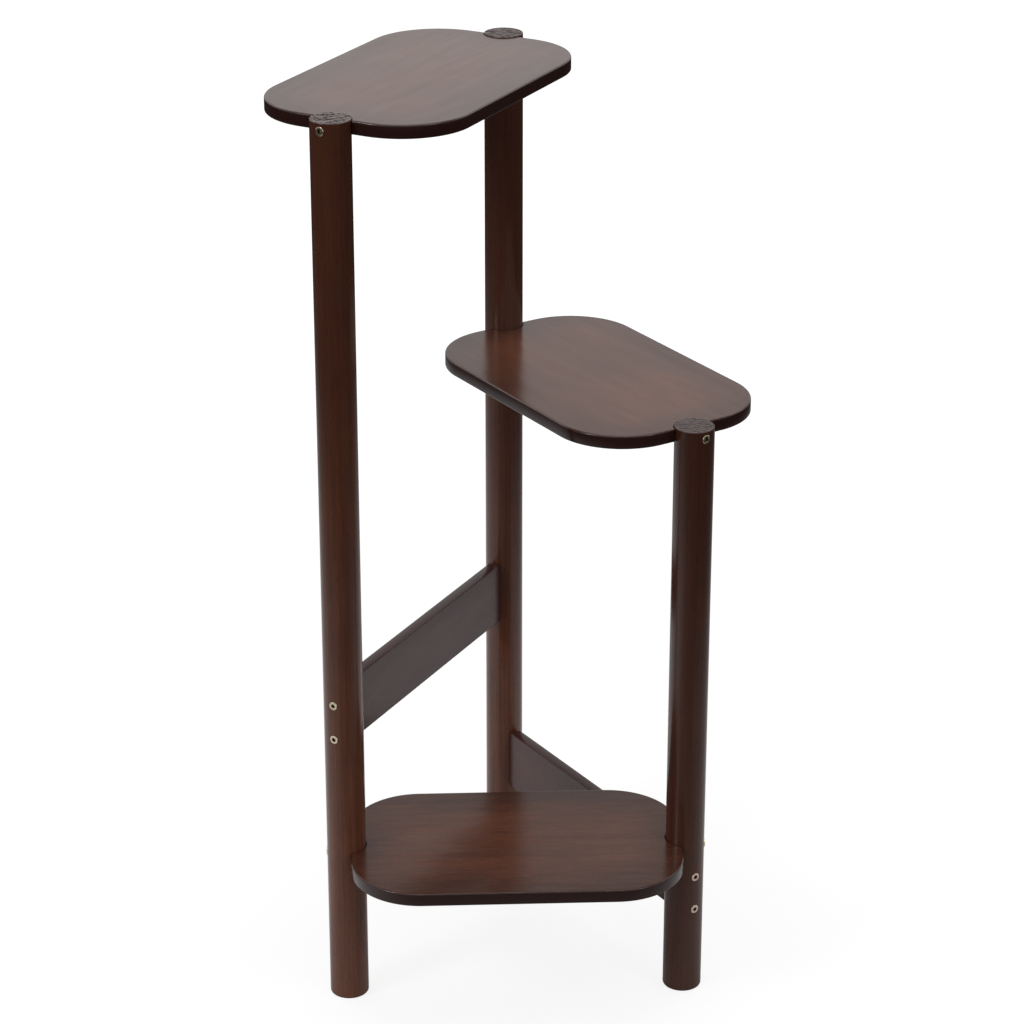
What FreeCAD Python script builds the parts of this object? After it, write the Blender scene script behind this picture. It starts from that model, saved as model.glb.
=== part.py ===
import FreeCAD, Part
import os
import Sketcher

# A three-tier plant stand of round posts, notched shelves and flat braces, in millimetres.
# The posts stand on the corners of an equilateral triangle. +Z is up, -Y is the front, and the
# origin is on the floor, at the middle of the stand's outline seen from above.

DIMENSIONS = {
    "post_spacing": 332,  # from post axis to post axis, on each side of the triangle
    "post_diameter": 38,
    "tall_post_height": 900,
    "short_post_height": 600,
    "post_top_reveal": 1,  # how far a post's end stands above the shelf beside it
    "post_top_rounding": 0.8,
    "post_foot_rounding": 2.5,
    "shelf_width": 204,
    "shelf_thickness": 13,
    "shelf_corner_radius": 68,
    "shelf_end_setback": 4.5,  # the straight end of a shelf stops this short of the post's axis
    "shelf_top_rounding": 1.5,
    "shelf_underside_rounding": 1,
    "shelf_notch_clearance": 0.15,
    "bottom_shelf_height": 165,  # floor to the upper face of the bottom shelf
    "brace_width": 64,
    "brace_thickness": 12,
    "brace_corner_radius": 4,
    "brace_edge_rounding": 1,
    "brace_end_clearance": 0.1,
    "upper_brace_height": 278,  # floor to the lower edge of the upper brace
    "lower_brace_gap": 5,  # between the lower brace and the underside of the bottom shelf
    "brace_bolt_spacing": 36,
    "brace_bolt_drop": 4,  # a brace's pair of bolts sits this far below its middle line
    "bolt_shank_diameter": 5,
    "bolt_head_diameter": 8.5,
    "bolt_head_length": 5,
    "bolt_head_chamfer": 0.4,
    "bolt_head_proud": 0.6,  # of the post's surface
    "bolt_tip_chamfer": 0.6,
    "bolt_hole_clearance": 0.3,
    "bolt_counterbore_clearance": 0.25,
    "bolt_engagement": 10.75,  # length of the bolt inside its insert
    "hexagon_across_flats": 4,
    "hexagon_depth": 2.5,
    "insert_diameter": 8,
    "insert_length": 12,
    "insert_chamfer": 0.5,
    "insert_setback": 0.65,  # from the post's surface to the mouth of the insert
    "insert_thread_clearance": 0.05,
    "insert_seat_clearance": 0.05,
    "insert_ridge_depth": 0.5,
    "insert_groove_count": 5,
    "insert_drill_allowance": 2.5,  # depth of the drilled hole past the insert
}

document = FreeCAD.newDocument("plant_stand")
sheet = document.addObject("Spreadsheet::Sheet", "sizes")
for row, (alias, size) in enumerate(DIMENSIONS.items(), 1):
    sheet.set(f"A{row}", alias)
    sheet.set(f"B{row}", str(size))
    sheet.setAlias(f"B{row}", alias)
document.recompute()


def size(words):
    """An expression in which each driving dimension's name is read from the sheet."""
    for alias in sorted(DIMENSIONS, key=len, reverse=True):
        words = words.replace(f"[{alias}]", f"sizes.{alias}")
    return words


def number(expression):
    """What an expression comes to at the present sizes."""
    value = sheet.evalExpression(expression)
    return float(getattr(value, "Value", value))


POST_RADIUS = size("([post_diameter] / 2)")
SEAT_RADIUS = size(f"({POST_RADIUS} + [bolt_head_proud])")
INSERT_START = size(f"({POST_RADIUS} + [insert_setback])")
DRILL_REACH = size(f"({INSERT_START} + [insert_length] + [insert_drill_allowance])")
SHELF_LENGTH = size("([post_spacing] - 2 * [shelf_end_setback])")
BRACE_LENGTH = size("([post_spacing] - [post_diameter] - 2 * [brace_end_clearance])")

# The outline seen from above runs from the bottom shelf's front edge to whichever reaches
# further back, a slanting upper shelf or the rear post. The front posts' row follows from it.
CORNER_ANGLE = 60  # degrees, at each corner of the equilateral triangle
ROW_DEPTH = size(f"([post_spacing] * sin({CORNER_ANGLE} deg))")
SHELF_REACH = size(
    f"({ROW_DEPTH} / 2 + ({SHELF_LENGTH} / 2 - [shelf_corner_radius]) * sin({CORNER_ANGLE} deg)"
    f" + ([shelf_width] / 2 - [shelf_corner_radius]) * cos({CORNER_ANGLE} deg)"
    " + [shelf_corner_radius])"
)
POST_REACH = size(f"({ROW_DEPTH} + {SEAT_RADIUS})")
FRONT_ROW = size(f"(([shelf_width] / 2 - max({SHELF_REACH}; {POST_REACH})) / 2)")
REAR_ROW = size(f"({FRONT_ROW} + {ROW_DEPTH})")

POST_PLACES = {
    "front_left": (size("(-[post_spacing] / 2)"), FRONT_ROW),
    "rear": ("0", REAR_ROW),
    "front_right": (size("([post_spacing] / 2)"), FRONT_ROW),
}
POST_HEIGHTS = {
    "front_left": size("[tall_post_height]"),
    "rear": size("[tall_post_height]"),
    "front_right": size("[short_post_height]"),
}

TALL_SHELF_TOP = size("([tall_post_height] - [post_top_reveal])")
SHORT_SHELF_TOP = size("([short_post_height] - [post_top_reveal])")
UPPER_BRACE_MIDDLE = size("([upper_brace_height] + [brace_width] / 2)")
LOWER_BRACE_TOP = size("([bottom_shelf_height] - [shelf_thickness] - [lower_brace_gap])")
LOWER_BRACE_MIDDLE = size(f"({LOWER_BRACE_TOP} - [brace_width] / 2)")

# Each shelf or brace runs from one post to another along a heading, in degrees from +X, with
# its upper face (a shelf) or its middle line (a brace) at a height.
SHELVES = {
    "top_shelf": ("front_left", "rear", CORNER_ANGLE, TALL_SHELF_TOP),
    "middle_shelf": ("rear", "front_right", -CORNER_ANGLE, SHORT_SHELF_TOP),
    "bottom_shelf": ("front_left", "front_right", 0, size("[bottom_shelf_height]")),
}
BRACES = {
    "upper_brace": ("front_left", "rear", CORNER_ANGLE, UPPER_BRACE_MIDDLE),
    "lower_brace": ("rear", "front_right", -CORNER_ANGLE, LOWER_BRACE_MIDDLE),
}
# A brace's two bolts, as heights from its middle line.
BRACE_ROWS = {
    "_upper": size("([brace_bolt_spacing] / 2 - [brace_bolt_drop])"),
    "_lower": size("(-[brace_bolt_spacing] / 2 - [brace_bolt_drop])"),
}


def bolt_lines():
    """The bolt lines of the stand: member, post, heading from head to tip, row and height."""
    lines = []
    for member, (start, end, heading, top) in SHELVES.items():
        height = size(f"({top} - [shelf_thickness] / 2)")
        lines.append((member, start, heading, "", height))
        lines.append((member, end, heading + 180, "", height))
    for member, (start, end, heading, middle) in BRACES.items():
        for row, offset in BRACE_ROWS.items():
            height = size(f"({middle} + {offset})")
            lines.append((member, start, heading, row, height))
            lines.append((member, end, heading + 180, row, height))
    return lines


# Sketching: each helper adds geometry at its present size and ties it to the sheet.


def make_body(label):
    body = document.addObject("PartDesign::Body", label)
    body.Label = label
    return body


def origin_feature(body, role):
    return next(item for item in body.Origin.OriginFeatures if item.Role == role)


def make_sketch(body, name, plane, offset="0", turn=0):
    """A sketch on an origin plane, turned about the sketch's Y and moved out along its normal."""
    sketch = body.newObject("Sketcher::SketchObject", f"{body.Label}_{name}")
    sketch.AttachmentSupport = [(origin_feature(body, plane), "")]
    sketch.MapMode = "FlatFace"
    turned = FreeCAD.Rotation(FreeCAD.Vector(0, 1, 0), turn)
    sketch.AttachmentOffset = FreeCAD.Placement(FreeCAD.Vector(0, 0, 0), turned)
    sketch.setExpression("AttachmentOffset.Base.x", f"{offset} * sin({turn} deg)")
    sketch.setExpression("AttachmentOffset.Base.z", f"{offset} * cos({turn} deg)")
    return sketch


def tie(sketch, kind, where, expression):
    """A size constraint whose value comes from an expression."""
    index = sketch.addConstraint(Sketcher.Constraint(kind, *where, number(expression)))
    sketch.setExpression(f"Constraints[{index}]", expression)


def pin_point(sketch, geometry, end, x, y):
    """Holds one end of a line, or a circle's middle, at x and y from the sketch's origin."""
    for kind, axis, expression in (("DistanceX", -2, x), ("DistanceY", -1, y)):
        if expression == "0":
            on_axis = Sketcher.Constraint("PointOnObject", geometry, end, axis)
            sketch.addConstraint(on_axis)
        else:
            tie(sketch, kind, (-1, 1, geometry, end), expression)


def draw_outline(sketch, corners):
    """A closed outline of straight lines through the corners, given as pairs of expressions."""
    points = [FreeCAD.Vector(number(x), number(y), 0) for x, y in corners]
    first = sketch.GeometryCount
    count = len(points)
    for index, point in enumerate(points):
        sketch.addGeometry(Part.LineSegment(point, points[(index + 1) % count]))
    for index, (x, y) in enumerate(corners):
        following = first + (index + 1) % count
        sketch.addConstraint(Sketcher.Constraint("Coincident", first + index, 2, following, 1))
        pin_point(sketch, first + index, 1, x, y)


def draw_rectangle(sketch, length, width):
    """A rectangle about the sketch's origin."""
    right, top = f"({length} / 2)", f"({width} / 2)"
    left, bottom = f"(-{length} / 2)", f"(-{width} / 2)"
    draw_outline(sketch, [(left, bottom), (right, bottom), (right, top), (left, top)])


def draw_circle(sketch, radius, x="0", y="0"):
    middle = FreeCAD.Vector(number(x), number(y), 0)
    up = FreeCAD.Vector(0, 0, 1)
    index = sketch.addGeometry(Part.Circle(middle, up, number(radius)))
    tie(sketch, "Radius", (index,), radius)
    pin_point(sketch, index, 3, x, y)


def draw_hexagon(sketch, across_flats):
    """A regular hexagon about the sketch's origin, with two of its flats upright."""
    half_flat = f"({across_flats} / 2)"
    corner = f"({across_flats} / sqrt(3))"
    half_side = f"({across_flats} / sqrt(12))"
    sides = [("0", corner), (half_flat, half_side), (half_flat, f"(-{half_side})")]
    opposite = [("0", f"(-{corner})"), (f"(-{half_flat})", f"(-{half_side})")]
    draw_outline(sketch, sides + opposite + [(f"(-{half_flat})", half_side)])


# Features: each takes its sizes as expressions.

cuts = []


def add_pad(sketch, body, length, both_ways=False):
    pad = body.newObject("PartDesign::Pad", f"{sketch.Name}_pad")
    pad.Profile = sketch
    pad.setExpression("Length", length)
    pad.SideType = "Symmetric" if both_ways else "One side"
    document.recompute()
    return pad


def add_pocket(sketch, body, depth=None):
    """Cuts along the sketch's normal, to a depth or right through."""
    pocket = body.newObject("PartDesign::Pocket", f"{sketch.Name}_pocket")
    pocket.Profile = sketch
    pocket.Reversed = True
    if depth is None:
        pocket.Type = "ThroughAll"
    else:
        pocket.setExpression("Length", depth)
    cuts.append(pocket)
    document.recompute()
    return pocket


def add_turned(kind, sketch, body):
    """A full turn of the sketch about its horizontal axis."""
    turned = body.newObject(f"PartDesign::{kind}", f"{sketch.Name}_{kind.lower()}")
    turned.Profile = sketch
    turned.ReferenceAxis = (sketch, ["H_Axis"])
    turned.Angle = 360
    if kind == "Groove":
        cuts.append(turned)
    document.recompute()
    return turned


def add_rounding(body, radius, wanted):
    """Rounds the edges of the body's tip that the test picks."""
    base = body.Tip
    edges = enumerate(base.Shape.Edges, 1)
    names = [f"Edge{index}" for index, edge in edges if wanted(edge.BoundBox)]
    rounding = body.newObject("PartDesign::Fillet", f"{base.Name}_rounded")
    rounding.Base = (base, names)
    rounding.setExpression("Radius", radius)
    document.recompute()
    return rounding


def mirror_to_other_end(feature, body):
    mirrored = body.newObject("PartDesign::Mirrored", f"{feature.Name}_mirrored")
    mirrored.Originals = [feature]
    mirrored.MirrorPlane = (origin_feature(body, "YZ_Plane"), [""])
    body.Tip = mirrored
    document.recompute()


TINY = 1e-4


def level_at(height):
    """Picks edges that lie flat at a height."""
    return lambda box: abs(box.ZMin - height) < TINY and abs(box.ZMax - height) < TINY


def side_at(depth):
    """Picks edges that lie in the upright plane at a depth."""
    return lambda box: abs(box.YMin - depth) < TINY and abs(box.YMax - depth) < TINY


def upright(box):
    return box.XLength < TINY and box.YLength < TINY


def crosswise(box):
    return box.XLength < TINY and box.ZLength < TINY


# The pieces.


def make_post(name):
    """A turned post, standing on its rounded foot, drilled and counterbored for its bolts."""
    body = make_body(f"{name}_post")
    height = POST_HEIGHTS[name]
    circle = make_sketch(body, "section", "XY_Plane")
    draw_circle(circle, POST_RADIUS)
    add_pad(circle, body, height)
    add_rounding(body, size("[post_top_rounding]"), level_at(number(height)))
    add_rounding(body, size("[post_foot_rounding]"), level_at(0))
    headings = {}
    for _, post, heading, _, bolt_height in bolt_lines():
        if post == name:
            headings.setdefault(heading, []).append(bolt_height)
    for heading, heights in headings.items():
        drill_post(body, heading, heights)
    set_place(body, *POST_PLACES[name], "0")
    return body


def drill_post(body, heading, heights):
    """Counterbored holes right through the post, from the side that the bolts' heads are on."""
    marks = make_sketch(body, "bolt_marks", "XZ_Plane", SEAT_RADIUS, heading - 90)
    for height in heights:
        draw_circle(marks, size("([bolt_shank_diameter] / 2)"), "0", height)
    document.recompute()
    hole = body.newObject("PartDesign::Hole", f"{marks.Name}_hole")
    hole.Profile = marks
    document.recompute()
    hole.DepthType = "ThroughAll"
    hole.HoleCutType = "Counterbore"
    hole.setExpression("Diameter", size("[bolt_shank_diameter] + 2 * [bolt_hole_clearance]"))
    head_hole = size("[bolt_head_diameter] + 2 * [bolt_counterbore_clearance]")
    hole.setExpression("HoleCutDiameter", head_hole)
    hole.setExpression("HoleCutDepth", size("[bolt_head_length]"))
    cuts.append(hole)
    document.recompute()


def drill_ends(body, heights):
    """Blind holes for the inserts, in both ends of a shelf or brace."""
    start = size(f"([post_spacing] / 2 - {DRILL_REACH})")
    marks = make_sketch(body, "insert_marks", "YZ_Plane", start)
    radius = size("([insert_diameter] / 2 + [insert_seat_clearance])")
    for height in heights:
        draw_circle(marks, radius, "0", height)
    mirror_to_other_end(add_pocket(marks, body), body)


def make_shelf(name):
    """A board with round corners and eased edges, notched at both ends round the posts."""
    start, end, heading, top = SHELVES[name]
    body = make_body(name)
    board = make_sketch(body, "board", "XY_Plane")
    draw_rectangle(board, SHELF_LENGTH, size("[shelf_width]"))
    add_pad(board, body, size("[shelf_thickness]"))
    add_rounding(body, size("[shelf_corner_radius]"), upright)
    top_face = number(size("[shelf_thickness]"))
    add_rounding(body, size("[shelf_top_rounding]"), level_at(top_face))
    add_rounding(body, size("[shelf_underside_rounding]"), level_at(0))
    notches = make_sketch(body, "notches", "XY_Plane")
    radius = size(f"({POST_RADIUS} + [shelf_notch_clearance])")
    for side in ("-", ""):
        draw_circle(notches, radius, size(f"({side}[post_spacing] / 2)"), "0")
    add_pocket(notches, body)
    drill_ends(body, [size("([shelf_thickness] / 2)")])
    place_member(body, start, end, heading, size(f"({top} - [shelf_thickness])"))
    return body


def make_brace(name):
    """A flat board on edge that butts on two posts."""
    start, end, heading, middle = BRACES[name]
    body = make_body(name)
    board = make_sketch(body, "board", "XZ_Plane")
    draw_rectangle(board, BRACE_LENGTH, size("[brace_width]"))
    add_pad(board, body, size("[brace_thickness]"), both_ways=True)
    add_rounding(body, size("[brace_corner_radius]"), crosswise)
    for face in (-1, 1):
        depth = face * number(size("[brace_thickness] / 2"))
        add_rounding(body, size("[brace_edge_rounding]"), side_at(depth))
    drill_ends(body, BRACE_ROWS.values())
    place_member(body, start, end, heading, middle)
    return body


def make_bolt(label, post, heading, height):
    """A socket-head cap screw, with its head's outer face at its own origin."""
    body = make_body(label)
    head = size("([bolt_head_diameter] / 2)")
    shank = size("([bolt_shank_diameter] / 2)")
    tip = size(f"({SEAT_RADIUS} + {INSERT_START} + [bolt_engagement])")
    profile = make_sketch(body, "profile", "XZ_Plane")
    draw_outline(
        profile,
        [
            ("0", "0"),
            ("0", size(f"({head} - [bolt_head_chamfer])")),
            (size("[bolt_head_chamfer]"), head),
            (size("[bolt_head_length]"), head),
            (size("[bolt_head_length]"), shank),
            (size(f"({tip} - [bolt_tip_chamfer])"), shank),
            (tip, size(f"({shank} - [bolt_tip_chamfer])")),
            (tip, "0"),
        ],
    )
    add_turned("Revolution", profile, body)
    hexagon = make_sketch(body, "hexagon", "YZ_Plane")
    draw_hexagon(hexagon, size("[hexagon_across_flats]"))
    add_pocket(hexagon, body, size("[hexagon_depth]"))
    place_on_line(body, post, heading, height, f"(-{SEAT_RADIUS})")
    return body


def make_insert(label, post, heading, height):
    """A threaded insert with grooves round it that grip the wood, its mouth at its own origin."""
    body = make_body(label)
    outside = size("([insert_diameter] / 2)")
    bore = size("([bolt_shank_diameter] / 2 + [insert_thread_clearance])")
    length = size("[insert_length]")
    chamfer = size("[insert_chamfer]")
    profile = make_sketch(body, "profile", "XZ_Plane")
    draw_outline(
        profile,
        [
            ("0", bore),
            ("0", f"({outside} - {chamfer})"),
            (chamfer, outside),
            (f"({length} - {chamfer})", outside),
            (length, f"({outside} - {chamfer})"),
            (length, bore),
        ],
    )
    add_turned("Revolution", profile, body)
    pitch = size("([insert_length] / ([insert_groove_count] + 1))")
    depth = size("[insert_ridge_depth]")
    ridge = make_sketch(body, "groove", "XZ_Plane")
    draw_outline(
        ridge,
        [
            (f"({pitch} - 2 * {depth})", f"({outside} + {depth})"),
            (pitch, f"({outside} - {depth})"),
            (f"({pitch} + 2 * {depth})", f"({outside} + {depth})"),
        ],
    )
    groove = add_turned("Groove", ridge, body)
    pattern = body.newObject("PartDesign::LinearPattern", f"{groove.Name}_pattern")
    pattern.Originals = [groove]
    pattern.Direction = (origin_feature(body, "X_Axis"), [""])
    pattern.setExpression("Occurrences", size("[insert_groove_count]"))
    pattern.setExpression("Length", size(f"{pitch} * ([insert_groove_count] - 1)"))
    body.Tip = pattern
    place_on_line(body, post, heading, height, INSERT_START)
    return body


# Placing: a piece's rotation is a fixed turn about the upright, and its place follows the sheet.


def set_place(body, x, y, z, turn=0):
    upright_axis = FreeCAD.Vector(0, 0, 1)
    rotation = FreeCAD.Rotation(upright_axis, turn)
    body.Placement = FreeCAD.Placement(FreeCAD.Vector(0, 0, 0), rotation)
    body.setExpression("Placement.Base.x", x)
    body.setExpression("Placement.Base.y", y)
    body.setExpression("Placement.Base.z", z)


def place_member(body, start, end, heading, height):
    """Halfway between its two posts."""
    middle = [f"(({a}) + ({b})) / 2" for a, b in zip(POST_PLACES[start], POST_PLACES[end])]
    set_place(body, *middle, height, heading)


def place_on_line(body, post, heading, height, along):
    """On a bolt line, at a distance along it from the post's axis."""
    x, y = POST_PLACES[post]
    across_x = f"{x} + {along} * cos({heading} deg)"
    across_y = f"{y} + {along} * sin({heading} deg)"
    set_place(body, across_x, across_y, height, heading)


pieces = [make_post(name) for name in POST_PLACES]
pieces += [make_shelf(name) for name in SHELVES]
pieces += [make_brace(name) for name in BRACES]
for member, post, heading, row, height in bolt_lines():
    pieces.append(make_bolt(f"{member}_bolt_{post}{row}", post, heading, height))
    pieces.append(make_insert(f"{member}_insert_{post}{row}", post, heading, height))
document.recompute()

for item in document.Objects:
    if {"Invalid", "Error"} & set(item.State):
        raise RuntimeError(f"{item.Label} did not recompute: {item.State}")
for cut in cuts:
    if cut.Shape.Volume > cut.BaseFeature.Shape.Volume - TINY:
        raise RuntimeError(f"{cut.Label} removes nothing")
for piece in pieces:
    if piece.Shape.isNull() or not piece.Shape.isValid() or len(piece.Shape.Solids) != 1:
        raise RuntimeError(f"{piece.Label} is not one valid solid")

os.makedirs("parts", exist_ok=True)
for piece in pieces:
    piece.Shape.exportStep(f"parts/{piece.Label}.step")
    print(f"{piece.Label}: {piece.Shape.Volume:.0f} mm3")
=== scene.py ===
# %% [markdown]
# # A tiered plant stand in dark stained wood
#
# The stand is three round posts, three shelves with notches round the posts, and two flat braces.
# Socket-head bolts go through the posts into threaded inserts in the ends of the boards. This
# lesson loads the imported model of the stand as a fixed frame, and then remakes each wooden piece
# on top of it, with finer edges and a finish of its own.

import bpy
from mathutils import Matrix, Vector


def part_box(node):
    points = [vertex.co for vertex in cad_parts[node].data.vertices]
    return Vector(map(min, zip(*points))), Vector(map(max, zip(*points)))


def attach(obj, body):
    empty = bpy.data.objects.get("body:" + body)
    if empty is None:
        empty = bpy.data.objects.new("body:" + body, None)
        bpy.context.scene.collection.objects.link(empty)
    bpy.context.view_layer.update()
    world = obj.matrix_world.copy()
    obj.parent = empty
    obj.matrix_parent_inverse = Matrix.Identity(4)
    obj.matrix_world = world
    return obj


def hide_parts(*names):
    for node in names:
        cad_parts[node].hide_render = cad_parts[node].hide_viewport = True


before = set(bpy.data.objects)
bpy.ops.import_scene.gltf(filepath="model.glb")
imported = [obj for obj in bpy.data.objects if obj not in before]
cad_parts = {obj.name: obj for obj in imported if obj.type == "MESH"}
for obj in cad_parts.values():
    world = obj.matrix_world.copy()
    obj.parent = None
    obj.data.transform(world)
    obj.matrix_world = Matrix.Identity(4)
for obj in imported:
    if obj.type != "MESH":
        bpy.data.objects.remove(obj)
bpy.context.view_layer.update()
print("nodes in the frame:", len(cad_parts))

# %% [markdown]
# ## Tools and units
#
# Everything in Blender is in metres, but a bench rule is in millimetres. `MM` turns one into the
# other, so that sizes below read as they would on a workshop drawing.

# %% Tools and units
import math

import bmesh
import bpy
from mathutils import Vector

MM = 0.001
scene = bpy.context.scene
scene.view_settings.view_transform = "Standard"

# %% [markdown]
# ## The camera
#
# The picture of the stand was taken from a little above the top shelf, well back, with a long
# lens, so that the posts stay nearly parallel. The camera's place, its tilt and its lens were
# worked out from the outline of the posts and shelves. It looks level across, so it has no roll.

# %% The camera
CAMERA_PLACE = (-0.12346, -2.91249, 1.72205)
CAMERA_TILT = 0.4054  # radians below the horizon
CAMERA_YAW = 0.0425  # radians, towards the right
CAMERA_LENS = 114.63

camera_data = bpy.data.cameras.new("camera")
camera_data.sensor_width = 36
camera_data.lens = CAMERA_LENS
camera = bpy.data.objects.new("camera", camera_data)
camera.location = CAMERA_PLACE
camera.rotation_euler = (math.pi / 2 - CAMERA_TILT, 0, -CAMERA_YAW)
scene.collection.objects.link(camera)
scene.camera = camera
print("camera stands back", round(math.dist(CAMERA_PLACE, (0, 0, 0.45)), 2), "m")

# %% [markdown]
# ## Shader maths that reads like maths
#
# A material is a net of nodes, and long nets are hard to read. `Wire` wraps one socket, so that
# `1 - mask * 0.5` adds the two Math nodes by itself. Every other node comes from `add`, which
# takes the kind of node, its settings, and what goes into its sockets.

# %% Shader maths that reads like maths


class Wire:
    """One socket of a node net that can stand in a Python sum."""

    def __init__(self, tree, socket=None):
        self.tree = tree
        self.socket = socket

    def add(self, kind, settings=None, values=None, output=0):
        """Adds a node: first its settings, then the values or links of its sockets."""
        node = self.tree.nodes.new(kind)
        for name, setting in (settings or {}).items():
            if name == "stops":
                fill_ramp(node.color_ramp, setting)
            else:
                setattr(node, name, setting)
        for key, value in (values or {}).items():
            if isinstance(value, Wire):
                self.tree.links.new(value.socket, node.inputs[key])
            else:
                node.inputs[key].default_value = value
        return Wire(self.tree, node.outputs[output] if len(node.outputs) else None)

    def math(self, operation, first, second):
        return self.add("ShaderNodeMath", {"operation": operation}, {0: first, 1: second})

    def __add__(self, other):
        return self.math("ADD", self, other)

    def __sub__(self, other):
        return self.math("SUBTRACT", self, other)

    def __rsub__(self, other):
        return self.math("SUBTRACT", other, self)

    def __mul__(self, other):
        return self.math("MULTIPLY", self, other)

    def __pow__(self, other):
        return self.math("POWER", self, other)

    def __abs__(self):
        return self.math("ABSOLUTE", self, 0)

    __radd__ = __add__
    __rmul__ = __mul__


def grey(level):
    """A grey colour."""
    return (level, level, level, 1)


def fill_ramp(ramp, stops):
    """Sets a ramp's stops from pairs of a place and a grey level."""
    while len(ramp.elements) < len(stops):
        ramp.elements.new(0.5)
    for element, (place, shade) in zip(ramp.elements, stops):
        element.position = place
        element.color = grey(shade)


def vector_math(operation, first, second, output=0):
    """Vector Math on two vectors."""
    return first.add("ShaderNodeVectorMath", {"operation": operation}, {0: first, 1: second}, output)


def parts_of(vector):
    """The three numbers of a vector."""
    return [vector.add("ShaderNodeSeparateXYZ", {}, {0: vector}, axis) for axis in range(3)]


def blend(factor, first, second):
    """Mixes two colours."""
    settings = {"data_type": "RGBA"}
    return factor.add("ShaderNodeMix", settings, {0: factor, 6: first, 7: second}, 2)


def ease(value, low, high):
    """Goes smoothly from 0 at low to 1 at high; low may be above high."""
    settings = {"interpolation_type": "SMOOTHSTEP"}
    return value.add("ShaderNodeMapRange", settings, {0: value, 1: low, 2: high})


def mottle(place, size, detail=3.0, roughness=0.5, distortion=0.0):
    """Noise from 0 to 1 whose blots are as long, wide and deep as size says, in metres."""
    paced = vector_math("MULTIPLY", place, tuple(1 / part for part in size))
    blots = {"Scale": 1.0, "Detail": detail, "Roughness": roughness, "Distortion": distortion}
    return place.add("ShaderNodeTexNoise", {}, {"Vector": paced, **blots})


# %% [markdown]
# ## The room
#
# The stand was lit in a plain white studio. To the camera the room is pure white, so the world
# shows white to camera rays. What the lacquer mirrors is another matter: a low white backdrop all
# round, dimmer the higher one looks. A ramp over the direction's height gives that. It is the
# same from every side, so the stand looks alike from the back.

# %% The room
# Pairs of a height, from 0 straight down to 1 straight up, and how bright the room is there.
BACKDROP = [(0.0, 0.16), (0.49, 0.16), (0.5, 0.95), (0.62, 0.92), (0.68, 0.72), (0.745, 0.46)]
BACKDROP += [(0.83, 0.34), (1.0, 0.34)]

world = bpy.data.worlds.new("room")
scene.world = world
world.use_nodes = True
world.node_tree.nodes.clear()
room = Wire(world.node_tree)
direction = room.add("ShaderNodeTexCoord")
height = parts_of(direction)[2]
glow = room.add("ShaderNodeValToRGB", {"stops": BACKDROP}, {0: height * 0.5 + 0.5})
camera_ray = room.add("ShaderNodeLightPath")
light = room.add("ShaderNodeBackground", {}, {0: blend(camera_ray, glow, grey(1)), 1: 1.0})
room.add("ShaderNodeOutputWorld", {}, {0: light})

# %% [markdown]
# ## The floor
#
# The floor is pale paper. The camera sees it topped up to white, less a soft shadow. What the
# lacquer mirrors has light and shade painted into the paper's colour: a painted pool of light,
# brightest behind and to the left of the stand and fading with distance, and a painted shadow in
# front, where the camera stood. That is why the posts look lighter towards the floor and along
# their sides.

# %% The floor
FLOOR_REACH = 8.0
BRIGHT_SPOT = (-0.25, 0.35, 0)
BRIGHT_FADE = (1.9, 0.3)  # distances from the spot where the brightness has gone and is whole
SHADED_SPOT = (0.05, -0.62, 0)
SHADED_FADE = (0.75, 0.15)
SHADED_LOSS = 0.7
MIRRORED_PAPER = (0.04, 0.86)  # as dim and as bright as the lacquer sees it
SHOWN_PAPER = 0.2
TOPPING = (0.84, 0.96)  # what the camera sees on top of it, near the stand and far away
TOPPING_FADE = (0.4, 2.2)

floor_mesh = bpy.data.meshes.new("floor")
corners = [(-1, -1), (1, -1), (1, 1), (-1, 1)]
floor_mesh.from_pydata([(x * FLOOR_REACH, y * FLOOR_REACH, 0) for x, y in corners], [], [range(4)])
floor = bpy.data.objects.new("floor", floor_mesh)
scene.collection.objects.link(floor)

paper_material = bpy.data.materials.new("pale_paper")
paper_material.use_nodes = True
paper_material.node_tree.nodes.clear()
paper = Wire(paper_material.node_tree)
where = paper.add("ShaderNodeNewGeometry")


def from_spot(centre):
    """How far a point of the floor is from one spot on it."""
    return vector_math("DISTANCE", where, centre, 1)


# Painted light and shade in the paper's colour: a pool of light and, in front, a shadow.
painted_floor_light = ease(from_spot(BRIGHT_SPOT), *BRIGHT_FADE)
painted_floor_light = painted_floor_light * (1 - ease(from_spot(SHADED_SPOT), *SHADED_FADE) * SHADED_LOSS)
mirrored = blend(painted_floor_light, *map(grey, MIRRORED_PAPER))
mirrored = paper.add("ShaderNodeBsdfDiffuse", {}, {0: mirrored})
shown = paper.add("ShaderNodeBsdfDiffuse", {}, {0: grey(SHOWN_PAPER)})
topping = blend(ease(from_spot((0, 0, 0)), *TOPPING_FADE), *map(grey, TOPPING))
topping = paper.add("ShaderNodeEmission", {}, {0: topping, 1: 1.0})
shown = paper.add("ShaderNodeAddShader", {}, {0: shown, 1: topping})
camera_ray = paper.add("ShaderNodeLightPath")
sheet = paper.add("ShaderNodeMixShader", {}, {0: camera_ray, 1: mirrored, 2: shown})
paper.add("ShaderNodeOutputMaterial", {}, {0: sheet})
floor_mesh.materials.append(paper_material)

# %% [markdown]
# ## The lamps
#
# Large soft boxes light the stand from high up. The wide one overhead lights the shelves and
# draws the thin bright line along their rounded edges. Of the two at the front, the left one is
# the stronger, which gives the posts their shape, and two weaker ones light the back. All are
# large, so every shadow stays soft, and too high for the shelves to mirror them.

# %% The lamps


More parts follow.
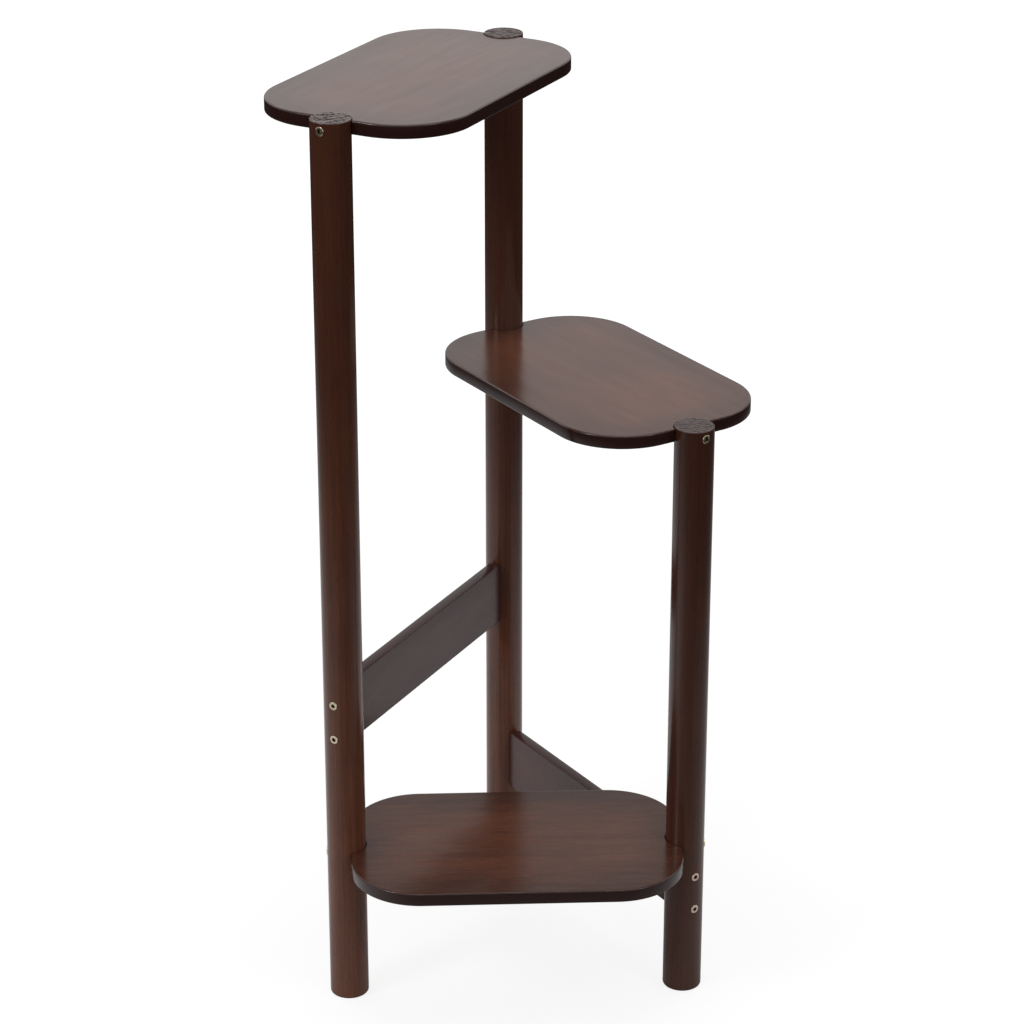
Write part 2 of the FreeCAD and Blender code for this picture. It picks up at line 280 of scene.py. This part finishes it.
def soft_box(name, place, width, brightness):
    """A square lamp that faces the middle of the stand; brightness is what its face shows."""
    data = bpy.data.lights.new(name, "AREA")
    data.size = width
    data.energy = brightness * math.pi * width**2
    lamp = bpy.data.objects.new(name, data)
    lamp.location = place
    towards = Vector((0, 0, 0.45)) - lamp.location
    lamp.rotation_euler = towards.to_track_quat("-Z", "Y").to_euler()
    scene.collection.objects.link(lamp)


soft_box("overhead_box", (0.0, -0.2, 2.9), 2.0, 1.7)
soft_box("front_left_box", (-2.5, -1.7, 2.4), 0.8, 15.0)
soft_box("front_right_box", (2.1, -2.1, 2.5), 0.8, 6.0)
soft_box("back_left_box", (-1.7, 1.9, 3.0), 1.3, 2.2)
soft_box("back_right_box", (1.7, 1.9, 3.0), 1.3, 2.2)

# %% [markdown]
# ## Stained and lacquered wood
#
# The real boards are a close-grained hardwood, stained a dark red-brown and sprayed with a satin
# lacquer. Every wooden piece below is made lying along its own X axis, as the plank was, so one
# recipe serves them all: the grain always runs along X.
#
# From large to small the recipe holds clouds where the stain took more or less, long bands of
# growth, fine fibres, short light flecks and dark pores. The stain is darker along rims and on
# edges, and the lacquer is worn a little lighter here and there on the rounded corners. Each
# piece has its own place in the pattern and its own strength of stain. The posts are streaked,
# and lighter towards the foot, which is painted light for the light the floor throws up. The
# braces are plummier. The posts' sawn ends show growth rings, whose open pores soak the lacquer
# up and stay matt.

# %% Stains and marks of the wood
DARK_STAIN = (0.017, 0.0049, 0.0039, 1)
WARM_STAIN = (0.132, 0.0435, 0.0210, 1)
PLUM_STAIN = (0.140, 0.0400, 0.0390, 1)  # on the braces, which come from another board
PORE_STAIN = (0.010, 0.0040, 0.0030, 1)
WORN_STAIN = (0.150, 0.0700, 0.0420, 1)

# How long, wide and deep each kind of mark is, in metres.
CLOUDS = (0.09, 0.05, 0.05)
BANDS = (0.24, 0.010, 0.010)
STREAKS = (0.16, 0.0026, 0.0026)
FIBRES = (0.026, 0.0010, 0.0010)
FLECKS = (0.019, 0.0014, 0.0014)
PORES = (0.0080, 0.0006, 0.0006)
SCUFFS = (0.012, 0.005, 0.005)
SPRAY = (0.05, 0.02, 0.02)  # patches of the lacquer that are more or less smooth
WAVES = (0.09, 0.018, 0.018)  # of the surface, left by sanding

FLECKS_ON_A_POST = 0.08
GRAIN_ON_A_POST = 0.5
PAINTED_FOOT_LIGHT_FADE = (0.05, 0.80)  # the heights over which a post goes from its foot's painted floor light to its top's stain

# %% [markdown]
# ## The place in the plank
#
# The shader needs to know where a point is on its piece, and so it takes the turns back that put
# the piece in its place. A shift, another one for each piece, then moves on along the pattern, as
# if every piece came from another part of the plank.

# %% The place in the plank


def new_material(name):
    """A material with an empty net."""
    material = bpy.data.materials.new(name)
    material.use_nodes = True
    material.node_tree.nodes.clear()
    return material, Wire(material.node_tree)


def on_the_bench(vector, turn):
    """Turns a direction on the stand back to how the piece lay on the bench."""
    settings = {"rotation_type": "EULER_XYZ", "invert": True}
    return vector.add("ShaderNodeVectorRotate", settings, {"Vector": vector, "Rotation": turn})


def lie_in_plank(net, lie, shift):
    """A point's place on its piece, its place in the plank, and the way the surface faces."""
    location, turn = lie
    place = vector_math("SUBTRACT", net.add("ShaderNodeTexCoord", {}, {}, 3), location)
    place = on_the_bench(place, turn)
    plank = vector_math("ADD", place, (shift, shift * 0.61, shift * 0.37))
    facing = parts_of(on_the_bench(net.add("ShaderNodeTexCoord", {}, {}, 1), turn))
    return place, plank, facing


# %% [markdown]
# ## Growth rings
#
# A saw cut across a post shows the tree's rings. They are circles round the pith, which lay
# outside this post, so they cross its end as slanting arcs. Noise makes them ragged.

# %% Growth rings
END_DARK = (0.006, 0.0035, 0.0030, 1)
END_LIGHT = (0.130, 0.0900, 0.0800, 1)
PITH = (0, -0.070, 0.021)  # the middle of the tree, as seen from the middle of a post
RING_WIDTH = 0.0050
RAGGED = (0.02, 0.0030, 0.0070)
RAGGED_REACH = 0.0110
SOAKED = 0.65  # how much of the lacquer the open pores of a dark ring take in


def growth_rings(place, plank):
    """Growth rings as a saw cut across the plank shows them, as ragged dark lines."""
    ragged = mottle(plank, RAGGED, 3.0, 0.6)
    across = vector_math("MULTIPLY", vector_math("SUBTRACT", place, PITH), (0, 1, 1))
    radius = vector_math("LENGTH", across, (0, 0, 0), 1) + ragged * RAGGED_REACH
    wave = place.add("ShaderNodeMath", {"operation": "SINE"}, {0: radius * (math.tau / RING_WIDTH)})
    return ease(wave * 0.34 + ragged, 0.28, 0.66)


# %% [markdown]
# ## How dark the stain is
#
# Tone says how light a point is, from the dark stain at 0 to the warm one at 1. A board is darker
# near its rim, where the sprayer slows down, and on its edges, which drink the stain. A post is
# streaked, darker on its rounded ends, and lighter at its foot than at its top: painted light,
# for the light that the floor throws up.

# %% How dark the stain is
RIM_SHADE = 0.5


def wood_tone(plank, fibres, grain):
    """The tone of the plain wood; grain is how strongly the bands and fibres show."""
    clouds = mottle(plank, CLOUDS, 4.0, 0.6)
    bands = ease(mottle(plank, BANDS, 2.0, 0.5, 0.6), 0.32, 0.68)
    return 0.95 + (clouds - 0.5) * 0.9 + (bands - 0.5) * grain * 0.32 + (fibres - 0.5) * grain


def board_tone(tone, warmth, nearness, broad, edge):
    """A board's tone; nearness is 1 at its outline, and broad is 1 on its broad faces."""
    tone = tone * warmth * (1 - nearness * RIM_SHADE)
    return tone * (1 - ease(broad, 0.97, 0.45) * edge)


def post_tone(tone, warmth, height, streaks, rounded):
    """A post's tone; warmth is the pair of its top and its foot, the foot's with painted light."""
    upper, foot = warmth
    tone = (tone + (streaks - 0.5) * 0.9) * (1 - rounded * 0.85)
    # Painted light: the foot is lighter, for the light the floor throws up, fading out higher up.
    return tone * (foot + ease(height, *PAINTED_FOOT_LIGHT_FADE) * (upper - foot))


# %% [markdown]
# ## The finish
#
# A Principled shader carries the stain's colour, and its own gloss stands for the lacquer. A bump
# lets the fibres and the sanding show in what it mirrors. On a post's end the matt rings are a
# plain dark shader, mixed in where the lacquer has soaked away.

# %% The finish


def with_relief(net, relief, strength, distance, finish):
    """A Principled shader with a relief, and the relief itself."""
    height = {"Strength": strength, "Distance": distance, "Height": relief}
    bump = net.add("ShaderNodeBump", {}, height)
    return net.add("ShaderNodeBsdfPrincipled", {}, {**finish, "Normal": bump}), bump


def stained_wood(
    name, lie, shift, warmth, stain=WARM_STAIN, flecks=0.1, sheen=0.5, rim=None, edge=0.9
):
    """Stained wood for one piece, which is a board where it has a rim and else a post.

    A board's warmth is one number, and a post's the pair that it has at its top and its foot;
    the foot's is higher, which is painted light that stands in for light from the floor.
    Flecks says how many light flecks a board has, or how strong the rings on a post's end are,
    and edge is how much darker a board's edges are than its faces.
    """
    material, net = new_material(name)
    place, plank, facing = lie_in_plank(net, lie, shift)
    fibres = mottle(plank, FIBRES, 2.0, 0.6)
    pores = ease(mottle(plank, PORES, 1.0, 0.5), 0.60, 0.74)
    dashes = ease(mottle(plank, FLECKS, 2.0, 0.55), 0.50, 0.72)
    broad = abs(facing[2] if rim else facing[0])
    rounded = broad * broad * (1 - broad * broad) * 4

    if rim:
        tone = wood_tone(plank, fibres, 0.25 + flecks) + dashes * flecks
        tone = board_tone(tone, warmth, rim(parts_of(place)), broad, edge)
    else:
        tone = wood_tone(plank, fibres, GRAIN_ON_A_POST) + dashes * FLECKS_ON_A_POST
        streaks = mottle(plank, STREAKS, 2.0, 0.5)
        tone = post_tone(tone, warmth, parts_of(place)[0], streaks, rounded)
    colour = blend(pores * 0.4, blend(tone, DARK_STAIN, stain), PORE_STAIN)
    if not rim:
        ends = ease(broad, 0.5, 0.9)
        rings = growth_rings(place, plank) * flecks + (1 - flecks) * 0.5
        colour = blend(ends * 0.95, colour, blend(rings, END_DARK, END_LIGHT))
    worn = rounded * ease(mottle(plank, SCUFFS, 4.0, 0.65), 0.52, 0.66)
    colour = blend(worn * 0.25, colour, WORN_STAIN)

    gloss = 0.15 + mottle(plank, SPRAY, 4.0, 0.6) * 0.10 + worn * 0.06
    relief = mottle(plank, WAVES, 1.0, 0.5) + fibres * 0.03
    if rim:
        gloss = gloss + pores * 0.03
        relief = relief + dashes * 0.03 - pores * 0.03
    else:
        gloss = gloss + ends * (0.62 - rings * 0.56)
        relief = relief + rings * ends * 10.0
    finish = {"Base Color": colour, "Roughness": gloss, "IOR": 1.5, "Specular IOR Level": sheen}
    surface, bump = with_relief(net, relief, 0.22, 1 * MM, finish)
    if not rim:
        bare = net.add("ShaderNodeBsdfDiffuse", {}, {0: END_DARK, "Normal": bump})
        soaked = ends * ease(rings, 0.5, 0.1) * SOAKED
        surface = net.add("ShaderNodeMixShader", {}, {0: soaked, 1: surface, 2: bare})
    net.add("ShaderNodeOutputMaterial", {}, {0: surface})
    return material


# %% [markdown]
# ## Turning and cutting
#
# A post is a bar turned on a lathe, and so is the tool that cuts a notch or a bore. `turned`
# makes both: it spins a profile of (distance along, radius) pairs round the X axis. `cut` takes
# tools away from a piece with exact boolean cuts, as a drill or a hole saw would.

# %% Turning and cutting
SMOOTH_BELOW = math.radians(32)


def link_mesh(name, shape):
    """Turns a bmesh into an object in the scene."""
    bmesh.ops.recalc_face_normals(shape, faces=shape.faces)
    mesh = bpy.data.meshes.new(name)
    shape.to_mesh(mesh)
    shape.free()
    piece = bpy.data.objects.new(name, mesh)
    scene.collection.objects.link(piece)
    return piece


def turned(name, profile, sides=96):
    """A solid turned round X; its profile starts and ends on the axis, with radius 0."""
    shape = bmesh.new()
    rings = []
    for along, radius in profile:
        turns = [2 * math.pi * step / sides for step in range(sides if radius else 1)]
        points = [(along, radius * math.cos(turn), radius * math.sin(turn)) for turn in turns]
        rings.append([shape.verts.new(point) for point in points])
    for ring, following in zip(rings, rings[1:]):
        for step in range(sides):
            corners = [ring[step % len(ring)], ring[(step + 1) % len(ring)]]
            corners += [following[(step + 1) % len(following)], following[step % len(following)]]
            shape.faces.new(dict.fromkeys(corners))
    return link_mesh(name, shape)


def quarter_round(radius, steps):
    """The sink and the drop of points round a quarter circle, from the flat to the side."""
    turns = [math.pi / 2 * step / steps for step in range(steps + 1)]
    return [(radius * (1 - math.sin(turn)), radius * (1 - math.cos(turn))) for turn in turns]


def cut(piece, tools):
    """Takes the tools' shapes away from the piece, and clears the tools from the bench."""
    for tool in tools:
        step = piece.modifiers.new(tool.name, "BOOLEAN")
        step.operation = "DIFFERENCE"
        step.solver = "EXACT"
        step.object = tool
    bpy.context.view_layer.update()
    graph = bpy.context.evaluated_depsgraph_get()
    mesh = bpy.data.meshes.new_from_object(piece.evaluated_get(graph))
    piece.modifiers.clear()
    piece.data = mesh
    for tool in tools:
        bpy.data.objects.remove(tool)


def finish_piece(piece, slot_name, **recipe):
    """Sets the piece's place into its mesh, gives it its finish and body, and hides its CAD node."""
    lie = (tuple(piece.location), tuple(piece.rotation_euler))
    mesh = piece.data
    mesh.transform(piece.matrix_world)
    piece.matrix_world.identity()
    mesh.materials.clear()
    mesh.materials.append(stained_wood(f"{piece.name}_stain", lie, **recipe))
    mesh.shade_smooth()
    mesh.set_sharp_from_angle(angle=SMOOTH_BELOW)
    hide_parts(piece.name.removesuffix("_wood"))
    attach(piece, "root")
    size = [round(part / MM, 1) for part in piece.dimensions]
    print(piece.name, size, len(mesh.polygons), "faces")


# %% [markdown]
# ## Where the bolts go
#
# Each shelf is pulled against its posts by one bolt at each end, and each brace by two. The bolts
# come through the posts from outside. Their heads sit in counterbores and their tips in inserts
# in the boards. The frame already has the bolts and inserts, so their heights are read from it.

# %% Where the bolts go
POST_RADIUS = 19 * MM
MEMBERS = {
    "top_shelf": ("front_left", "rear", ("",)),
    "middle_shelf": ("rear", "front_right", ("",)),
    "bottom_shelf": ("front_left", "front_right", ("",)),
    "upper_brace": ("front_left", "rear", ("_upper", "_lower")),
    "lower_brace": ("rear", "front_right", ("_upper", "_lower")),
}


def middle_of(node):
    """The middle of a node's box."""
    low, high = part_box(node)
    return (low + high) / 2


def bolt_lines(member):
    """The bolt lines of a shelf or brace: post, point on the post's axis, direction inwards."""
    start, end, rows = MEMBERS[member]
    lines = []
    for post, other in ((start, end), (end, start)):
        inwards = middle_of(f"{other}_post") - middle_of(f"{post}_post")
        inwards.z = 0
        for row in rows:
            point = middle_of(f"{post}_post")
            point.z = middle_of(f"{member}_bolt_{post}{row}").z
            lines.append((post, point, inwards.normalized()))
    return lines


def tool_along(name, profile, point, direction):
    """A turned tool whose X axis lies along a direction through a point."""
    tool = turned(name, profile)
    tool.location = point
    tool.rotation_euler = direction.to_track_quat("X", "Z").to_euler()
    return tool


for member in MEMBERS:
    print(member, [round(point.z / MM, 1) for _, point, _ in bolt_lines(member)])

# %% [markdown]
# ## The posts
#
# Each post is a straight round bar. Its foot has a generous rounding so that it doesn't splinter
# when the stand is dragged, and its top only a broken edge. A revolved profile gives both ends
# exactly. Rings every 15 mm keep the bolt holes' cuts local, so the long sides shade cleanly.

# %% The posts
POST_FOOT = 2.5 * MM
POST_TOP = 0.8 * MM
FLAT_MARGIN = 0.4 * MM
RING_PITCH = 15 * MM
POST_SIDES = 120
HEAD_BORE = 4.5 * MM
HEAD_SEAT = 14.6 * MM  # from the post's axis to the seat of the bolt's head
SHANK_BORE = 2.8 * MM
REACH_OUT = 30 * MM  # of the drills, to both sides of the post's axis


def post_profile(length):
    """Along and radius of a post, from the middle of its foot to the middle of its top."""
    foot = quarter_round(POST_FOOT, 6)
    top = quarter_round(POST_TOP, 4)
    profile = [(0, 0), (0, POST_RADIUS - POST_FOOT - FLAT_MARGIN)]
    profile += [(drop, POST_RADIUS - sink) for sink, drop in foot]
    start, end = POST_FOOT + FLAT_MARGIN, length - POST_TOP - FLAT_MARGIN
    count = round((end - start) / RING_PITCH)
    profile += [(start + (end - start) * step / count, POST_RADIUS) for step in range(count + 1)]
    profile += [(length - drop, POST_RADIUS - sink) for sink, drop in reversed(top)]
    return profile + [(length, POST_RADIUS - POST_TOP - FLAT_MARGIN), (length, 0)]


def counterbore_profile():
    """A stepped drill: the head's bore outside, the shank's bore right through."""
    steps = [(-REACH_OUT, HEAD_BORE), (-HEAD_SEAT, HEAD_BORE)]
    steps += [(-HEAD_SEAT, SHANK_BORE), (REACH_OUT, SHANK_BORE)]
    return [(-REACH_OUT, 0), *steps, (REACH_OUT, 0)]


def make_post(name, **recipe):
    """A post, stood up from the lathe, with its bolt holes."""
    post = turned(f"{name}_wood", post_profile(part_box(name)[1].z), POST_SIDES)
    post.location = (middle_of(name).x, middle_of(name).y, 0)
    post.rotation_euler = (0, -math.pi / 2, 0)
    drills = []
    for member in MEMBERS:
        for post_name, point, inwards in bolt_lines(member):
            if f"{post_name}_post" == name:
                drills.append(tool_along("drill", counterbore_profile(), point, inwards))
    cut(post, drills)
    finish_piece(post, "post_wood", **recipe)


# A post's second warmth, at its foot, is higher: painted light, for the light from the floor.
make_post("front_left_post", shift=3.1, warmth=(0.34, 0.76), flecks=1.0)
make_post("rear_post", shift=7.7, warmth=(0.30, 0.68), flecks=0.6)
make_post("front_right_post", shift=12.4, warmth=(0.19, 0.36), flecks=0.3)

# %% [markdown]
# ## Boards with eased edges
#
# A shelf and a brace are the same kind of thing: a plank with round corners and softened edges.
# The outline is drawn as a ring of points, and rings that step inwards as they step up or down
# form the rounding. The broad faces are single flat faces with a narrow margin, so that they
# mirror the room without a ripple.

# %% Boards with eased edges
CORNER_STEPS = 28


def outline(length, width, corner):
    """Points round a rectangle with round corners."""
    points = []
    for quarter in range(4):
        x_side = (1, -1, -1, 1)[quarter]
        y_side = (1, 1, -1, -1)[quarter]
        for step in range(CORNER_STEPS + 1):
            turn = math.pi / 2 * (quarter + step / CORNER_STEPS)
            x = x_side * (length / 2 - corner) + corner * math.cos(turn)
            y = y_side * (width / 2 - corner) + corner * math.sin(turn)
            points.append((x, y))
    return points


def eased_board(name, sizes, thickness, top, under):
    """A board centred on its own origin, with its face up; top and under are its roundings."""
    length, width, corner = sizes
    levels = [(under + FLAT_MARGIN, -thickness / 2)]
    levels += [(sink, -thickness / 2 + drop) for sink, drop in quarter_round(under, 4)]
    levels += [(sink, thickness / 2 - drop) for sink, drop in reversed(quarter_round(top, 5))]
    levels += [(top + FLAT_MARGIN, thickness / 2)]
    shape = bmesh.new()
    rings = []
    for sink, level in levels:
        ring = outline(length - 2 * sink, width - 2 * sink, corner - sink)
        rings.append([shape.verts.new((x, y, level)) for x, y in ring])
    count = len(rings[0])
    for ring, following in zip(rings, rings[1:]):
        for step in range(count):
            after = (step + 1) % count
            shape.faces.new([ring[step], ring[after], following[after], following[step]])
    shape.faces.new(list(reversed(rings[0])))
    shape.faces.new(rings[-1])
    return link_mesh(name, shape)


def lay_between(board, member):
    """Puts a board halfway between its two posts, with its X axis from one to the other."""
    start, end, _ = MEMBERS[member]
    run = middle_of(f"{end}_post") - middle_of(f"{start}_post")
    board.location = middle_of(member)
    board.rotation_euler.z = math.atan2(run.y, run.x)


# %% [markdown]
# ## The shelves
#
# A shelf is as wide as a plant pot needs, and its ends are cut with a hole saw to fit round the
# posts. The cut is a hair wider than the post and its rim is broken with a small chamfer, which
# makes the thin dark line that is seen where wood meets wood. The inserts sit in bores drilled
# into the ends.
#
# The sprayer holds the gun to the edges a moment longer, so the stain is darker along the rim.
# The shader measures how far a point is from the outline to shade that band.

# %% The shelves
SHELF_SIZES = (323 * MM, 204 * MM, 68 * MM)  # length, width and the radius of a corner
SHELF_THICKNESS = 13 * MM
SHELF_TOP = 1.5 * MM
SHELF_UNDER = 1 * MM
NOTCH_RADIUS = POST_RADIUS + 0.5 * MM
NOTCH_CHAMFER = 0.6 * MM
INSERT_BORE = 4.05 * MM
INSERT_REACH = 34.15 * MM  # from the post's axis to the bottom of the insert's bore
RIM_BAND = 55 * MM


def notch_profile(thickness):
    """A hole saw as deep as the board, flared by a small chamfer at both faces."""
    half = thickness / 2
    flare, inner = NOTCH_RADIUS + NOTCH_CHAMFER * 2, half - NOTCH_CHAMFER
    beyond = half + NOTCH_CHAMFER
    steps = [(-beyond, flare), (-inner, NOTCH_RADIUS), (inner, NOTCH_RADIUS), (beyond, flare)]
    return [(-beyond, 0), *steps, (beyond, 0)]


def insert_drill(point, inwards):
    """The drill for an insert, from the post's axis into the board's end."""
    steps = [(0, 0), (0, INSERT_BORE), (INSERT_REACH, INSERT_BORE), (INSERT_REACH, 0)]
    return tool_along("insert_drill", steps, point, inwards)


def rim_of(length, width, corner):
    """How near a point is to the outline: 1 on it, 0 well inside."""

    def rim(place):
        along = abs(place[0]) - (length / 2 - corner)
        across = abs(place[1]) - (width / 2 - corner)
        longer = along.math("MAXIMUM", along, 0)
        wider = across.math("MAXIMUM", across, 0)
        outside = (longer * longer + wider * wider) ** 0.5
        inside = along.math("MINIMUM", along.math("MAXIMUM", along, across), 0)
        return ease(outside + inside - corner, -RIM_BAND, 0)

    return rim


def make_shelf(name, **recipe):
    """A shelf in its place, notched and drilled."""
    shelf = eased_board(f"{name}_wood", SHELF_SIZES, SHELF_THICKNESS, SHELF_TOP, SHELF_UNDER)
    lay_between(shelf, name)
    tools = []
    for _, point, inwards in bolt_lines(name):
        profile = notch_profile(SHELF_THICKNESS)
        tools.append(tool_along("hole_saw", profile, point, Vector((0, 0, 1))))
        tools.append(insert_drill(point, inwards))
    cut(shelf, tools)
    finish_piece(shelf, "shelf_wood", rim=rim_of(*SHELF_SIZES), **recipe)


make_shelf("top_shelf", shift=21.3, warmth=0.61, flecks=0.10)
make_shelf("middle_shelf", shift=33.8, warmth=0.85, flecks=0.04)
make_shelf("bottom_shelf", shift=45.2, warmth=0.69, flecks=0.42)

# %% [markdown]
# ## The braces
#
# A brace is a flat board on edge whose square ends butt on the round posts. It comes from the
# same recipe as a shelf, turned up on its edge. Its stain is plummier and its edges are as light
# as its faces, so those two strengths are set here.

# %% The braces
BRACE_SIZES = (293.8 * MM, 64 * MM, 4 * MM)
BRACE_THICKNESS = 12 * MM
BRACE_EDGE = 1 * MM


def make_brace(name, **recipe):
    """A brace on edge between its posts, drilled for its inserts."""
    brace = eased_board(f"{name}_wood", BRACE_SIZES, BRACE_THICKNESS, BRACE_EDGE, BRACE_EDGE)
    brace.rotation_euler.x = math.pi / 2
    lay_between(brace, name)
    cut(brace, [insert_drill(point, inwards) for _, point, inwards in bolt_lines(name)])
    recipe.update(rim=rim_of(*BRACE_SIZES), stain=PLUM_STAIN, sheen=0.36, edge=0.1)
    finish_piece(brace, "brace_wood", **recipe)


make_brace("upper_brace", shift=57.9, warmth=0.48)
make_brace("lower_brace", shift=66.6, warmth=0.54)

# %% [markdown]
# ## Bolts and inserts
#
# The bolts and inserts of the frame have their true shapes already, down to the hexagon sockets,
# so they only need a finish. The bolts are plated and passivated, which gives one head a yellow
# sheen and the next a pink one. Slow noise over the whole stand mixes the two. Their sockets and
# the gap round each head are darkened by painted shade, from an occlusion node. The inserts,
# which nobody sees, are yellow zinc.

# %% Bolts and inserts
BOLT_TINTS = (0.95, 0.88, 0.58, 1), (0.96, 0.74, 0.66, 1), (0.60, 0.47, 0.34, 1)
INSERT_TINTS = (0.62, 0.55, 0.36, 1), (0.60, 0.52, 0.40, 1), (0.42, 0.36, 0.22, 1)
PAINTED_SOCKET_SHADE = (0.012, 0.008, 0.006, 1)
DULL_PATCHES = (0.0016, 0.0016, 0.0016)
SCRATCHES = (0.0004, 0.0004, 0.006)
TINT_CHANGE = (0.028, 0.028, 0.028)


def plated_metal(name, tints, roughness):
    """Plated steel whose tint changes, with small dull patches, fine scratches and relief."""
    yellow, pink, dull = tints
    material, net = new_material(name)
    place = net.add("ShaderNodeTexCoord", {}, {}, 3)
    patches = ease(mottle(place, DULL_PATCHES, 4.0, 0.6), 0.40, 0.66)
    scratches = mottle(place, SCRATCHES, 2.0, 0.5)
    # Painted shade: the occlusion darkens the sockets and the gap round each head.
    painted_shade = net.add("ShaderNodeAmbientOcclusion", {"only_local": True}, {"Distance": 2.2 * MM}, 1)
    painted_shade = ease(painted_shade, 0.90, 0.58)
    tint = ease(mottle(place, TINT_CHANGE, 2.0, 0.5), 0.44, 0.56)
    colour = blend(patches * 0.55 + scratches * 0.25, blend(tint, pink, yellow), dull)
    colour = blend(painted_shade * 0.96, colour, PAINTED_SOCKET_SHADE)
    rough = roughness + patches * 0.08 + (scratches - 0.5) * 0.08 + painted_shade * 0.3
    finish = {"Base Color": colour, "Roughness": rough, "Metallic": 1.0}
    plate, _ = with_relief(net, scratches * 0.6 + patches * 0.4, 0.2, 0.1 * MM, finish)
    net.add("ShaderNodeOutputMaterial", {}, {0: plate})
    return material


bronze = plated_metal("bolt_bronze", BOLT_TINTS, 0.20)
zinc = plated_metal("insert_zinc", INSERT_TINTS, 0.34)
for name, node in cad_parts.items():
    if "_bolt_" in name or "_insert_" in name:
        node.data.materials.clear()
        node.data.materials.append(bronze if "_bolt_" in name else zinc)
